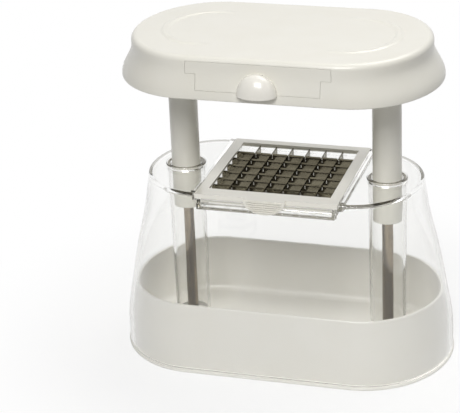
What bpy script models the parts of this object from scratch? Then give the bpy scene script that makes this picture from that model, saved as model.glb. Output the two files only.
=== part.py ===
# Press-down food chopper: white catch tray, clear housing, blade cartridge and sprung press head.
# Metres, +Z up. The origin is at the middle of the base, on the table; the thumb tab and the knob face -Y.

from math import asin, cos, pi, radians, sin

import bmesh
import bpy
from mathutils import Matrix, Vector

for old in list(bpy.data.objects):
    bpy.data.objects.remove(old, do_unlink=True)

# Shared fits
gap = 0.0003                    # between pieces that touch or slide
bite = 0.0010                   # overlap of two shapes that are joined into one piece
beyond = 0.0300                 # how far a cutter runs past what it cuts

# Oval outlines: straight long sides closed by half ellipses
end_roundness = 0.89            # length of an end's half ellipse over half the width
end_steps = 12                  # straight edges in each end
corner_steps = 3                # straight edges in each rounded corner
sharp_angle = radians(32)       # edges sharper than this are shaded as edges

# Clear housing
housing_length = 0.2128
housing_width = 0.1206
deck_length = 0.1753
deck_width = 0.0913
deck_height = 0.1178
deck_thickness = 0.0025
deck_edge_radius = 0.0020
housing_wall = 0.0022
wall_bulge = ((0.0, 0.0), (0.17, 0.0031), (0.375, 0.0029), (0.594, 0.0020), (0.806, 0.0), (1.0, 0.0))
side_bulge_share = 0.25         # the long sides swell this share of what the ends do
rail_width = 0.0032
rail_height = 0.0010
ledge_thickness = 0.0025

# Catch tray
flange_lip = 0.0006             # how far the tray's foot flange shows outside the housing
flange_thickness = 0.0020
tray_height = 0.0442
tray_wall = 0.0020
tray_clearance = 0.0004
tray_floor = 0.0034             # thickness of the tray's floor, which lies flat on the table
tray_floor_corner = 0.0045

# Columns: sleeve, rod, tube and spring on one axis, one set at each end
column_x = 0.0653
travel = 0.0750                 # how far the press head goes down
end_play = 0.0005
tube_radius = 0.00905
tube_wall = 0.0018
tube_bottom = 0.0910
tube_top = 0.2032
tube_cap = 0.0040
bush_length = 0.0100
rod_radius = 0.0035
rod_running_gap = 0.0003
stop_cap_radius = 0.0062
stop_cap_height = 0.0040
stop_cap_edge = 0.0006
rod_in_cap = 0.0026
spring_wire = 0.0008
spring_radius = 0.0056          # to the middle of the wire
spring_turns = 13
spring_steps = 9                # points in a turn
spring_wire_rounding = 1        # bevel resolution of the wire
sleeve_radius = 0.0118
sleeve_draft = 0.0005           # the sleeve is this much slimmer at its foot
sleeve_bore = 0.0103
sleeve_bottom = 0.0060
sleeve_floor = 0.0040
sleeve_recess_radius = 0.0080
collar_radius = 0.0128
collar_height = 0.0014
round_steps = 24
rod_steps = 16
small_round_steps = 12

# Press head
head_top_length = 0.1866
head_top_width = 0.1099
skirt_flare_x = 0.0070          # how far the skirt's foot stands out past the top edge, at the ends
skirt_flare_y = 0.00275         # and at the sides
flare_steps = 6
head_bottom = 0.1839
head_top = 0.2099
head_edge_radius = 0.0035
head_wall = 0.0024
flare_drop = 0.0034             # the skirt turns outwards this far below its top edge
flare_lift = 0.0011             # and stands upright again this far above its foot
plateau_length = 0.1500
plateau_width = 0.0660
plateau_slope = 0.0060
plateau_height = 0.0007
under_plate_bottom = 0.1960
under_plate_thickness = 0.0033
socket_wall = 0.0024
guide_rib_width = 0.0020
guide_rib_height = 0.0035
plate_screw_x = 0.0560
plate_screw_y = 0.0370
boss_radius = 0.0036

# Pusher insert
panel_wide_half = 0.0443
panel_narrow_half = 0.0380
panel_bottom = 0.1899
panel_step = 0.1996
panel_top = 0.2070
panel_thickness = 0.00255       # at the head's top edge
pusher_flange_thickness = 0.0030
pusher_back = 0.0450
pusher_upstand = 0.0025
pusher_screw_x = 0.0240
pusher_screw_z = 0.1967
panel_screw_share = 0.6         # how deep the screws go into the panel, as a share of its thickness there
knob_overhang = 0.0008          # how far the knob reaches down past its panel
knob_width = 0.0250
knob_height = 0.0131
knob_depth = 0.0086
knob_spigot_radius = 0.0030
knob_spigot_length = 0.0022
knob_segments = 24
knob_rings = 16

# Blade cartridge
cells = 7                       # along each side of the square window
pitch = 0.0110
blade_y = 0.0005                # middle of the window
stud_clearance = 0.0005
strip_thickness = 0.0006
strip_height = 0.0063
strip_edge = 0.0010             # height of the sharpened top edge
strip_hold = 0.0015             # how far a strip's ends reach past the window
frame_half_x = 0.0450
frame_setback = 0.0005          # from the retainer's front to the frame's
frame_back = 0.0450
frame_top = 0.1188
frame_thickness = 0.0030
frame_lip_thickness = 0.0015
retainer_half_x = 0.0435
retainer_bottom = 0.1092
retainer_wall = 0.0020
retainer_lip = 0.0012           # bottom lip that the strips stand on
ledge_proud = 0.0012            # the lower front of the retainer stands out this much
ledge_top = 0.1131
tab_width = 0.0264
tab_thickness = 0.0019
tab_bottom = 0.1096
tab_steps = 12

# Screws
screw_radius = 0.0014
screw_head_radius = 0.0022
screw_head_height = 0.0014
screw_hole_gap = 0.0003
screw_head_taper = 0.3          # share of a screw head's height that is bevelled
foot_screw_radius = 0.0016
foot_screw_head_radius = 0.0034
foot_screw_head_height = 0.0023
foot_screw_length = 0.0120

# Sizes that follow from the ones above
head_bottom_width = head_top_width + 2 * skirt_flare_y
knob_bottom = panel_bottom - knob_overhang
panel_back = panel_thickness - head_top_width / 2
tab_front = panel_back + 2 * gap
tab_back = tab_front + tab_thickness
retainer_front = tab_back + gap + ledge_proud
frame_front = retainer_front + frame_setback
housing_bottom = flange_thickness + gap
deck_underside = deck_height - deck_thickness
frame_bottom = frame_top - frame_thickness
channel_floor = frame_bottom - gap
retainer_top = channel_floor
window_half = cells * pitch / 2
strip_half = window_half + strip_hold
pocket_half = strip_half + gap
retainer_back = blade_y + pocket_half + retainer_wall
strip_bottom = retainer_bottom + retainer_lip + gap
strip_top = strip_bottom + strip_height
tube_bore = tube_radius - tube_wall
tube_cap_underside = tube_top - tube_cap
sleeve_floor_top = tube_bottom - travel - end_play
sleeve_floor_bottom = sleeve_floor_top - sleeve_floor
collar_bottom = deck_height + gap
collar_top = collar_bottom + collar_height
rod_bottom = sleeve_floor_top + gap
stop_cap_bottom = tube_bottom + bush_length + gap
stop_cap_top = stop_cap_bottom + stop_cap_height
rod_top = stop_cap_bottom + rod_in_cap
spring_bottom = stop_cap_top + gap
spring_top = tube_cap_underside - gap
under_plate_top = under_plate_bottom + under_plate_thickness
head_inside_top = head_top - head_wall
skirt_top = head_top - head_edge_radius
flare_top = skirt_top - flare_drop
flare_bottom = head_bottom + flare_lift
socket_radius = tube_radius + gap + socket_wall
socket_cap_bottom = tube_top + gap
socket_top = socket_cap_bottom + screw_head_height
flange_bottom = under_plate_top + gap
flange_half = panel_wide_half - gap
stud_bottom = panel_bottom
upstand_bottom = frame_top + travel + 2 * gap
stud_half = pitch / 2 - strip_thickness / 2 - stud_clearance


# Materials

def plastic(name, colour, roughness, clear=0.0, metallic=0.0):
    material = bpy.data.materials.new(name)
    material.use_nodes = True
    shader = material.node_tree.nodes["Principled BSDF"]
    shader.inputs["Base Color"].default_value = (*colour, 1.0)
    shader.inputs["Roughness"].default_value = roughness
    shader.inputs["Metallic"].default_value = metallic
    shader.inputs["Transmission Weight"].default_value = clear
    return material


ivory_plastic = plastic("ivory_plastic", (0.78, 0.75, 0.67), 0.32)
satin_ivory = plastic("satin_ivory", (0.76, 0.74, 0.68), 0.40)
clear_plastic = plastic("clear_plastic", (0.95, 0.96, 0.95), 0.05, clear=0.9)
polished_steel = plastic("polished_steel", (0.58, 0.57, 0.54), 0.22, metallic=1.0)
spring_steel = plastic("spring_steel", (0.42, 0.42, 0.43), 0.35, metallic=1.0)
blade_steel = plastic("blade_steel", (0.55, 0.55, 0.54), 0.25, metallic=1.0)
zinc_steel = plastic("zinc_steel", (0.66, 0.66, 0.64), 0.35, metallic=1.0)


# Objects

def to_object(name, bm, material=None):
    bmesh.ops.recalc_face_normals(bm, faces=bm.faces)
    mesh = bpy.data.meshes.new(name)
    bm.to_mesh(mesh)
    bm.free()
    mesh.shade_smooth()
    mesh.set_sharp_from_angle(angle=sharp_angle)
    if material:
        mesh.materials.append(material)
    thing = bpy.data.objects.new(name, mesh)
    bpy.context.scene.collection.objects.link(thing)
    return thing


def share(name, thing, x=0.0, y=0.0, z=0.0):
    twin = bpy.data.objects.new(name, thing.data)
    twin.location = (x, y, z)
    bpy.context.scene.collection.objects.link(twin)
    return twin


def row_of(first, places):
    # The first piece, whose name ends in _1, and its copies, each at its own place.
    first.location = places[0]
    stem = first.name[:-1]
    return [first] + [share(stem + str(i + 2), first, *place) for i, place in enumerate(places[1:])]


def combine(target, operation, *others):
    tools = bpy.data.collections.new(target.name + "_" + operation.lower())
    bpy.context.scene.collection.children.link(tools)
    for other in others:
        bpy.context.scene.collection.objects.unlink(other)
        tools.objects.link(other)
        other.hide_render = True
        other.display_type = "WIRE"
    step = target.modifiers.new(tools.name, "BOOLEAN")
    step.operation = operation
    step.operand_type = "COLLECTION"
    step.collection = tools
    return target


def cut(target, *cutters):
    return combine(target, "DIFFERENCE", *cutters)


def join(target, *parts):
    return combine(target, "UNION", *parts)


def box(name, low, high, material=None):
    bm = bmesh.new()
    size = Vector(high) - Vector(low)
    middle = (Vector(high) + Vector(low)) / 2
    bmesh.ops.create_cube(bm, size=1.0, matrix=Matrix.Translation(middle) @ Matrix.Diagonal((*size, 1.0)))
    return to_object(name, bm, material)


def bridge(bm, lower, upper):
    count = len(lower)
    for i in range(count):
        j = (i + 1) % count
        if len(upper) == 1:
            bm.faces.new((lower[i], lower[j], upper[0]))
        elif len(lower) == 1:
            bm.faces.new((lower[0], upper[j], upper[i]))
        else:
            bm.faces.new((lower[i], lower[j], upper[j], upper[i]))


def oval(bm, half_x, half_y, z):
    end = end_roundness * half_y
    ring = []
    for side in (1, -1):
        for step in range(end_steps + 1):
            turn = pi * (step / end_steps - 0.5)
            x = side * (half_x - end + end * cos(turn))
            ring.append(bm.verts.new((x, side * half_y * sin(turn), z)))
    return ring


def oval_body(name, levels, material=None):
    # Levels are (half length, half width, height); the first and the last are closed flat.
    bm = bmesh.new()
    rings = [oval(bm, *level) for level in levels]
    for lower, upper in zip(rings, rings[1:]):
        bridge(bm, lower, upper)
    bm.faces.new(rings[0])
    bm.faces.new(rings[-1])
    return to_object(name, bm, material)


def turned(name, profile, material=None, steps=round_steps, closed=False, along=None):
    # The profile is a list of (radius, height). It is closed on itself, or it starts and ends on the axis.
    bm = bmesh.new()
    rings = []
    for radius, z in profile:
        if radius == 0.0:
            rings.append([bm.verts.new((0.0, 0.0, z))])
        else:
            angles = [2 * pi * i / steps for i in range(steps)]
            rings.append([bm.verts.new((radius * cos(a), radius * sin(a), z)) for a in angles])
    pairs = list(zip(rings, rings[1:]))
    if closed:
        pairs.append((rings[-1], rings[0]))
    for lower, upper in pairs:
        if len(lower) == 1:
            bridge(bm, upper, lower)
        else:
            bridge(bm, lower, upper)
    if along:
        bmesh.ops.transform(bm, matrix=along, verts=bm.verts)
    return to_object(name, bm, material)


def extruded(name, outline, depth, place, material=None):
    # The outline is a closed list of points in a plane, pushed along the plane's normal.
    bm = bmesh.new()
    face = bm.faces.new([bm.verts.new((*point, 0.0)) for point in outline])
    pushed = bmesh.ops.extrude_face_region(bm, geom=[face])
    moved = [item for item in pushed["geom"] if isinstance(item, bmesh.types.BMVert)]
    bmesh.ops.translate(bm, vec=(0.0, 0.0, depth), verts=moved)
    bmesh.ops.transform(bm, matrix=place, verts=bm.verts)
    return to_object(name, bm, material)


# Outlines of the housing, the tray and the head at a height

def swell(share_of_height):
    for (low, low_bulge), (high, high_bulge) in zip(wall_bulge, wall_bulge[1:]):
        if share_of_height <= high:
            part = (share_of_height - low) / (high - low)
            return low_bulge + (high_bulge - low_bulge) * part
    return 0.0


def housing_half(z, inset=0.0):
    part = z / deck_height
    half_x = (housing_length + (deck_length - housing_length) * part) / 2 + swell(part)
    half_y = (housing_width + (deck_width - housing_width) * part) / 2 + swell(part) * side_bulge_share
    return half_x - inset, half_y - inset


def head_half(z, inset=0.0):
    share = min(1.0, max(0.0, (flare_top - z) / (flare_top - flare_bottom)))
    part = share * share * (3.0 - 2.0 * share)      # eases in and out
    half_x = head_top_length / 2 + skirt_flare_x * part
    half_y = head_top_width / 2 + skirt_flare_y * part
    return half_x - inset, half_y - inset


# Catch tray: a white tub with a foot flange that the housing stands on

def make_tray():
    outset = housing_wall + tray_clearance
    inside = outset + tray_wall
    flange = housing_half(housing_bottom, -flange_lip)
    levels = [(*flange, 0.0), (*flange, flange_thickness)]
    levels += [(*housing_half(housing_bottom, outset), flange_thickness)]
    levels += [(*housing_half(tray_height / 2, outset), tray_height / 2)]
    levels += [(*housing_half(tray_height, outset), tray_height)]
    levels += [(*housing_half(tray_height, inside), tray_height)]
    levels += [(*housing_half(tray_height / 2, inside), tray_height / 2)]
    for step in range(corner_steps + 1):
        turn = pi / 2 * step / corner_steps
        inset = inside + tray_floor_corner * (1 - cos(turn))
        z = tray_floor + tray_floor_corner * (1 - sin(turn))
        levels.append((*housing_half(tray_floor + tray_floor_corner, inset), z))
    return oval_body("catch_tray", levels, ivory_plastic)


# Clear housing: tapered walls, a flat deck, and a channel across it for the blade cartridge

def make_housing():
    shares = [point[0] for point in wall_bulge[1:-1]]
    inner = [(*housing_half(deck_underside, housing_wall), deck_underside)]
    inner += [(*housing_half(s * deck_height, housing_wall), s * deck_height) for s in reversed(shares)]
    inner.append((*housing_half(housing_bottom, housing_wall), housing_bottom))
    outer = [(*housing_half(housing_bottom), housing_bottom)]
    outer += [(*housing_half(s * deck_height), s * deck_height) for s in shares]
    for step in range(corner_steps + 1):
        turn = pi / 2 * step / corner_steps
        z = deck_height - deck_edge_radius * (1 - sin(turn))
        outer.append((*housing_half(z, deck_edge_radius * (1 - cos(turn))), z))
    housing = oval_body("clear_housing", inner + outer, clear_plastic)

    channel_half = frame_half_x + gap
    saddle_half = channel_half + housing_wall
    wall_inside = housing_half(deck_underside, housing_wall)[1]
    ledge_bottom = channel_floor - ledge_thickness
    saddle = box("saddle", (-saddle_half, -wall_inside - bite, ledge_bottom),
                 (saddle_half, wall_inside + bite, deck_underside + bite))
    rail_half = channel_half + rail_width
    rails = box("rails", (-rail_half, -wall_inside, deck_height - bite),
                (rail_half, wall_inside, deck_height + rail_height))
    join(housing, saddle, rails)
    channel = box("channel", (-channel_half, -deck_width, channel_floor),
                  (channel_half, deck_width, deck_height + beyond))
    mouth_half = retainer_half_x + gap
    mouth = box("mouth", (-mouth_half, -deck_width, retainer_bottom - gap),
                (mouth_half, retainer_back + gap, channel_floor + bite))
    hole_radius, hole_bottom, hole_top = sleeve_radius + gap, deck_underside - beyond, deck_height + beyond
    hole_profile = [(0.0, hole_bottom), (hole_radius, hole_bottom), (hole_radius, hole_top), (0.0, hole_top)]
    holes = [turned("sleeve_hole", hole_profile) for side in (-1, 1)]
    for side, hole in zip((-1, 1), holes):
        hole.location.x = side * column_x
    return [cut(housing, channel, mouth, *holes)]


# Columns

def make_sleeve():
    foot = sleeve_radius - sleeve_draft
    foot_bore = sleeve_bore - sleeve_draft
    hole = foot_screw_radius + screw_hole_gap
    profile = [(foot, sleeve_bottom), (sleeve_radius, collar_bottom), (collar_radius, collar_bottom)]
    profile += [(collar_radius, collar_top), (sleeve_bore, collar_top)]
    profile += [(foot_bore, sleeve_floor_top), (hole, sleeve_floor_top), (hole, sleeve_floor_bottom)]
    profile += [(sleeve_recess_radius, sleeve_floor_bottom), (sleeve_recess_radius, sleeve_bottom)]
    return turned("left_guide_sleeve", profile, clear_plastic, closed=True)


def make_rod():
    hole = foot_screw_radius + screw_hole_gap
    hole_top = rod_bottom + foot_screw_length
    profile = [(0.0, hole_top), (hole, hole_top), (hole, rod_bottom), (rod_radius, rod_bottom)]
    profile += [(rod_radius, rod_top), (0.0, rod_top)]
    return turned("left_guide_rod", profile, polished_steel, steps=rod_steps)


def make_stop_cap():
    bore = rod_radius + gap
    profile = [(0.0, rod_top + gap), (bore, rod_top + gap), (bore, stop_cap_bottom)]
    profile += [(stop_cap_radius, stop_cap_bottom), (stop_cap_radius, stop_cap_top - stop_cap_edge)]
    profile += [(stop_cap_radius - stop_cap_edge, stop_cap_top), (0.0, stop_cap_top)]
    return turned("left_rod_stop_cap", profile, zinc_steel, steps=rod_steps)


def make_spring():
    points = []
    total = spring_turns * spring_steps
    low = spring_bottom + spring_wire / 2
    rise = spring_top - spring_bottom - spring_wire
    for i in range(total + 1):
        turn = 2 * pi * i / spring_steps
        points.append((spring_radius * cos(turn), spring_radius * sin(turn), low + rise * i / total))
    curve = bpy.data.curves.new("left_return_spring", "CURVE")
    curve.dimensions = "3D"
    curve.bevel_depth = spring_wire / 2
    curve.bevel_resolution = spring_wire_rounding
    curve.use_fill_caps = True
    path = curve.splines.new("POLY")
    path.points.add(len(points) - 1)
    for point, place in zip(path.points, points):
        point.co = (*place, 1.0)
    curve.materials.append(spring_steel)
    spring = bpy.data.objects.new("left_return_spring", curve)
    bpy.context.scene.collection.objects.link(spring)
    spans = [Vector(points[i]) - Vector(points[i + spring_steps]) for i in range(total - spring_steps)]
    least = min(span.length for span in spans) - spring_wire
    print("spring coil gap %.2f mm at rest" % (least * 1000))
    return spring


def make_tube():
    hole = screw_radius + screw_hole_gap
    profile = [(tube_bore, tube_bottom), (tube_radius, tube_bottom), (tube_radius, tube_top)]
    profile += [(hole, tube_top), (hole, tube_cap_underside), (tube_bore, tube_cap_underside)]
    return turned("left_column_tube", profile, ivory_plastic, closed=True)


def make_bush():
    bore = rod_radius + rod_running_gap
    outside = tube_bore - gap
    profile = [(bore, tube_bottom), (outside, tube_bottom), (outside, tube_bottom + bush_length)]
    profile.append((bore, tube_bottom + bush_length))
    return turned("left_column_bush", profile, satin_ivory, steps=rod_steps, closed=True)


def screw_profile(radius, length, head_radius, head_height):
    # Points up the shank: the head lies below the origin, the shank above it.
    slope = screw_head_taper * head_height
    profile = [(0.0, -head_height), (head_radius - slope, -head_height), (head_radius, slope - head_height)]
    profile += [(head_radius, 0.0), (radius, 0.0), (radius, length - radius), (0.0, length)]
    return profile


def make_columns():
    foot_screw = turned("left_rod_foot_screw",
                        screw_profile(foot_screw_radius, foot_screw_length, foot_screw_head_radius,
                                      foot_screw_head_height),
                        zinc_steel, steps=small_round_steps)
    down = Matrix.Rotation(pi, 4, "X")
    top_screw = turned("left_column_screw",
                       screw_profile(screw_radius, socket_top - tube_cap_underside - gap, screw_head_radius,
                                     screw_head_height),
                       zinc_steel, steps=small_round_steps, along=down)
    heights = {foot_screw: sleeve_floor_bottom - gap, top_screw: socket_top + gap}
    fixed = [make_sleeve(), make_rod(), make_stop_cap(), make_spring(), foot_screw]
    moving = [make_tube(), make_bush(), top_screw]
    groups = []
    for things in (fixed, moving):
        group = []
        for left in things:
            z = heights.get(left, 0.0)
            left.location = (-column_x, 0.0, z)
            group += [left, share(left.name.replace("left", "right"), left, column_x, 0.0, z)]
        groups.append(group)
    return groups


# Press head

def head_levels(grow=0.0):
    levels = []
    for step in range(flare_steps + 1):
        z = head_bottom + (skirt_top - head_bottom) * step / flare_steps
        levels.append((*head_half(z, -grow), z))
    for step in range(1, corner_steps + 1):
        turn = pi / 2 * step / corner_steps
        inset = head_edge_radius * (1 - cos(turn))
        levels.append((*head_half(head_top, inset - grow), skirt_top + head_edge_radius * sin(turn)))
    return levels


def panel_prism(name, grow, front, back):
    # The T of the pusher's front: wide above, narrow below.
    wide, narrow = panel_wide_half + grow, panel_narrow_half + grow
    low, step, high = panel_bottom - grow, panel_step - grow, panel_top + grow
    outline = [(-narrow, low), (narrow, low), (narrow, step), (wide, step), (wide, high)]
    outline += [(-wide, high), (-wide, step), (-narrow, step)]
    place = Matrix.Translation((0.0, back, 0.0)) @ Matrix.Rotation(pi / 2, 4, "X")
    return extruded(name, outline, back - front, place)


def plate_screw_places():
    return [(x * plate_screw_x, y * plate_screw_y) for x in (-1, 1) for y in (-1, 1)]


def tools_at(name, profile, places, steps=small_round_steps):
    tools = []
    for x, y in places:
        tool = turned(name, profile, steps=steps)
        tool.location = (x, y, 0.0)
        tools.append(tool)
    return tools


def make_head_shell():
    plateau_x, plateau_y = plateau_length / 2, plateau_width / 2
    inside = [(*head_half(head_inside_top, head_wall), head_inside_top)]
    for step in range(flare_steps, -1, -1):
        z = head_bottom + (skirt_top - head_bottom) * step / flare_steps
        inside.append((*head_half(z, head_wall), z))
    top = [(plateau_x, plateau_y, head_top)]
    top.append((plateau_x - plateau_slope, plateau_y - plateau_slope, head_top + plateau_height))
    shell = oval_body("head_shell", inside + head_levels() + top, ivory_plastic)
    bottom, hole = under_plate_top + gap, screw_radius + screw_hole_gap
    ceiling = head_inside_top + bite
    profile = [(0.0, head_inside_top - bite), (hole, head_inside_top - bite), (hole, bottom)]
    profile += [(boss_radius, bottom), (boss_radius, ceiling), (0.0, ceiling)]
    join(shell, *tools_at("boss", profile, plate_screw_places()))
    return cut(shell, panel_prism("panel_opening", gap, -head_bottom_width, panel_back + bite))


def make_under_plate():
    outline = head_half(under_plate_top, head_wall + gap)
    levels = [(*outline, under_plate_bottom), (*outline, under_plate_top)]
    plate = oval_body("head_under_plate", levels, satin_ivory)
    below, above = under_plate_bottom - beyond, socket_top + beyond
    hole, recess, bore = screw_radius + screw_hole_gap, screw_head_radius + screw_hole_gap, tube_radius + gap
    rib_near = panel_wide_half + gap
    ribs = [box("guide_rib", (low, panel_back + bite, under_plate_top - bite),
                (low + guide_rib_width, pusher_back, under_plate_top + guide_rib_height))
            for low in (-rib_near - guide_rib_width, rib_near)]
    columns = [(-column_x, 0.0), (column_x, 0.0)]
    cup = [(0.0, under_plate_top - bite), (socket_radius, under_plate_top - bite)]
    cup += [(socket_radius, socket_top), (0.0, socket_top)]
    join(plate, *ribs, *tools_at("socket", cup, columns, round_steps))
    channel = box("pusher_channel", (-panel_narrow_half - gap, -head_bottom_width, below),
                  (panel_narrow_half + gap, blade_y + window_half + gap, above))
    cup_bore = [(0.0, below), (bore, below), (bore, socket_cap_bottom), (hole, socket_cap_bottom)]
    cup_bore += [(hole, above), (0.0, above)]
    recess_top = under_plate_bottom + screw_head_height + 2 * gap
    screw_bore = [(0.0, below), (recess, below), (recess, recess_top)]
    screw_bore += [(hole, recess_top), (hole, above), (0.0, above)]
    return cut(plate, channel, *tools_at("socket_bore", cup_bore, columns, round_steps),
               *tools_at("plate_screw_hole", screw_bore, plate_screw_places()))


def make_plate_screws():
    head_seat = under_plate_bottom + screw_head_height + gap
    length = head_inside_top - bite - gap - head_seat
    profile = screw_profile(screw_radius, length, screw_head_radius, screw_head_height)
    first = turned("head_plate_screw_1", profile, zinc_steel, steps=small_round_steps)
    return row_of(first, [(x, y, head_seat) for x, y in plate_screw_places()])


def make_head():
    return [make_head_shell(), make_under_plate()] + make_plate_screws()


# Pusher insert: a stud plate that slides out of the head's front

def make_pusher_plate():
    front = panel_back + gap
    plate = box("pusher_plate", (-flange_half, front, flange_bottom),
                (flange_half, pusher_back - gap, flange_bottom + pusher_flange_thickness), satin_ivory)
    upstand = box("upstand", (-flange_half, front, flange_bottom + pusher_flange_thickness - bite),
                  (flange_half, front + pusher_upstand, panel_top - gap))
    skirt = box("upstand_lower", (-panel_narrow_half + gap, front, upstand_bottom),
                (panel_narrow_half - gap, front + pusher_upstand, flange_bottom + bite))
    bm = bmesh.new()
    size = 2 * stud_half
    depth = flange_bottom + bite - stud_bottom
    first = -pitch * (cells - 1) / 2
    for i in range(cells):
        for j in range(cells):
            middle = (first + i * pitch, blade_y + first + j * pitch, stud_bottom + depth / 2)
            spread = Matrix.Diagonal((size, size, depth, 1.0))
            bmesh.ops.create_cube(bm, size=1.0, matrix=Matrix.Translation(middle) @ spread)
    join(plate, upstand, skirt, to_object("studs", bm))
    reach, hole = pusher_upstand + 2 * bite, screw_radius + screw_hole_gap
    return cut(plate, *[screw_hole(x, front - bite, reach, hole) for x in (-pusher_screw_x, pusher_screw_x)])


def screw_hole(x, start, length, radius):
    # A round cutter along +Y through the pusher's front.
    profile = [(0.0, 0.0), (radius, 0.0), (radius, length), (0.0, length)]
    place = Matrix.Translation((x, start, pusher_screw_z)) @ Matrix.Rotation(-pi / 2, 4, "X")
    return turned("screw_hole", profile, steps=small_round_steps, along=place)


def make_front_panel():
    panel = panel_prism("pusher_front_panel", 0.0, -head_bottom_width, panel_back)
    panel.data.materials.append(ivory_plastic)
    combine(panel, "INTERSECT", oval_body("head_outside", head_levels()))
    depth, hole = panel_screw_depth(), screw_radius + screw_hole_gap
    holes = [screw_hole(x, panel_back - depth, depth + bite, hole) for x in (-pusher_screw_x, pusher_screw_x)]
    return cut(panel, knob_spigot("spigot_hole", gap), *holes)


def panel_screw_depth():
    return panel_screw_share * (head_half(pusher_screw_z)[1] + panel_back)


def knob_spigot(name, grow):
    middle = knob_bottom + knob_height / 2
    face = head_half(middle)[1]
    radius = knob_spigot_radius + grow
    tip = -face + knob_spigot_length + grow
    start = -face - bite
    profile = [(0.0, 0.0), (radius, 0.0), (radius, tip - start), (0.0, tip - start)]
    place = Matrix.Translation((0.0, start, middle)) @ Matrix.Rotation(-pi / 2, 4, "X")
    return turned(name, profile, steps=small_round_steps, along=place)


def make_knob():
    # A quarter of an egg: flat below, round above, hollowed at the back to sit on the panel's curve.
    bm = bmesh.new()
    bmesh.ops.create_uvsphere(bm, u_segments=knob_segments, v_segments=knob_rings, radius=1.0)
    face = head_half(knob_bottom)[1]
    spread = Matrix.Diagonal((knob_width / 2, knob_depth, knob_height, 1.0))
    bmesh.ops.transform(bm, matrix=Matrix.Translation((0.0, -face, knob_bottom)) @ spread, verts=bm.verts)
    knob = to_object("pusher_knob", bm, ivory_plastic)
    below = box("below_knob", (-knob_width, -head_bottom_width, knob_bottom - beyond),
                (knob_width, 0.0, knob_bottom))
    cut(knob, below, oval_body("panel_face", head_levels(gap)))
    return join(knob, knob_spigot("spigot", 0.0))


def make_pusher_screws():
    seat = panel_back + gap + pusher_upstand + gap
    length = seat - panel_back + panel_screw_depth() - gap
    profile = screw_profile(screw_radius, length, screw_head_radius, screw_head_height)
    first = turned("pusher_screw_1", profile, zinc_steel, steps=small_round_steps,
                   along=Matrix.Rotation(pi / 2, 4, "X"))
    return row_of(first, [(x, seat, pusher_screw_z) for x in (-pusher_screw_x, pusher_screw_x)])


def make_pusher():
    return [make_pusher_plate(), make_front_panel(), make_knob()] + make_pusher_screws()


# Blade cartridge: white frame with a thumb tab, two sets of notched strips, and a clear retainer

def make_frame():
    frame = box("blade_frame", (-frame_half_x, frame_front, frame_bottom),
                (frame_half_x, frame_back, frame_top), ivory_plastic)
    window = box("window", (-window_half, blade_y - window_half, frame_bottom - beyond),
                 (window_half, blade_y + window_half, frame_top + beyond))
    recess = box("recess", (-pocket_half, blade_y - pocket_half, frame_bottom - beyond),
                 (pocket_half, blade_y + pocket_half, frame_top - frame_lip_thickness))
    cut(frame, window, recess)
    outline = []
    for step in range(tab_steps + 1):
        turn = pi * step / tab_steps
        outline.append((tab_width / 2 * cos(turn), (frame_top - tab_bottom) * -sin(turn)))
    place = Matrix.Translation((0.0, tab_back, frame_top)) @ Matrix.Rotation(pi / 2, 4, "X")
    tab = extruded("tab", outline, tab_thickness, place)
    root_half = tab_width / 2 * cos(asin(frame_thickness / (frame_top - tab_bottom)))
    root = box("tab_root", (-root_half, tab_back - bite, frame_bottom),
               (root_half, frame_front + bite, frame_top))
    return join(frame, tab, root)


def make_retainer():
    top_front = retainer_front
    body = box("blade_retainer", (-retainer_half_x, top_front, retainer_bottom),
               (retainer_half_x, retainer_back, retainer_top), clear_plastic)
    ledge = box("front_ledge", (-retainer_half_x, top_front - ledge_proud, retainer_bottom),
                (retainer_half_x, top_front + bite, ledge_top))
    join(body, ledge)
    opening = box("drop_window", (-window_half, blade_y - window_half, retainer_bottom - beyond),
                  (window_half, blade_y + window_half, retainer_top + beyond))
    pocket = box("strip_pocket", (-pocket_half, blade_y - pocket_half, retainer_bottom + retainer_lip),
                 (pocket_half, blade_y + pocket_half, retainer_top + beyond))
    inner_front = blade_y - pocket_half - retainer_wall
    hollow = box("front_hollow", (-retainer_half_x + retainer_wall, top_front + retainer_wall,
                                  retainer_bottom + retainer_lip),
                 (retainer_half_x - retainer_wall, inner_front, retainer_top + beyond))
    return cut(body, opening, pocket, hollow)


def strip_outline(notch_at_top):
    # Seen from the side: length along the first axis, height along the second.
    half_lap = (strip_height - strip_edge) / 2 + gap / 2
    notch_half = strip_thickness / 2 + gap
    low, high = strip_bottom, strip_top - strip_edge
    middles = [pitch * (i - (cells - 2) / 2) for i in range(cells - 1)]
    if notch_at_top:
        points = [(-strip_half, low), (strip_half, low), (strip_half, high)]
        for middle in reversed(middles):
            points += [(middle + notch_half, high), (middle + notch_half, high - half_lap)]
            points += [(middle - notch_half, high - half_lap), (middle - notch_half, high)]
        points.append((-strip_half, high))
    else:
        points = [(-strip_half, low)]
        for middle in middles:
            points += [(middle - notch_half, low), (middle - notch_half, low + half_lap)]
            points += [(middle + notch_half, low + half_lap), (middle + notch_half, low)]
        points += [(strip_half, low), (strip_half, high), (-strip_half, high)]
    return points


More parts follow.
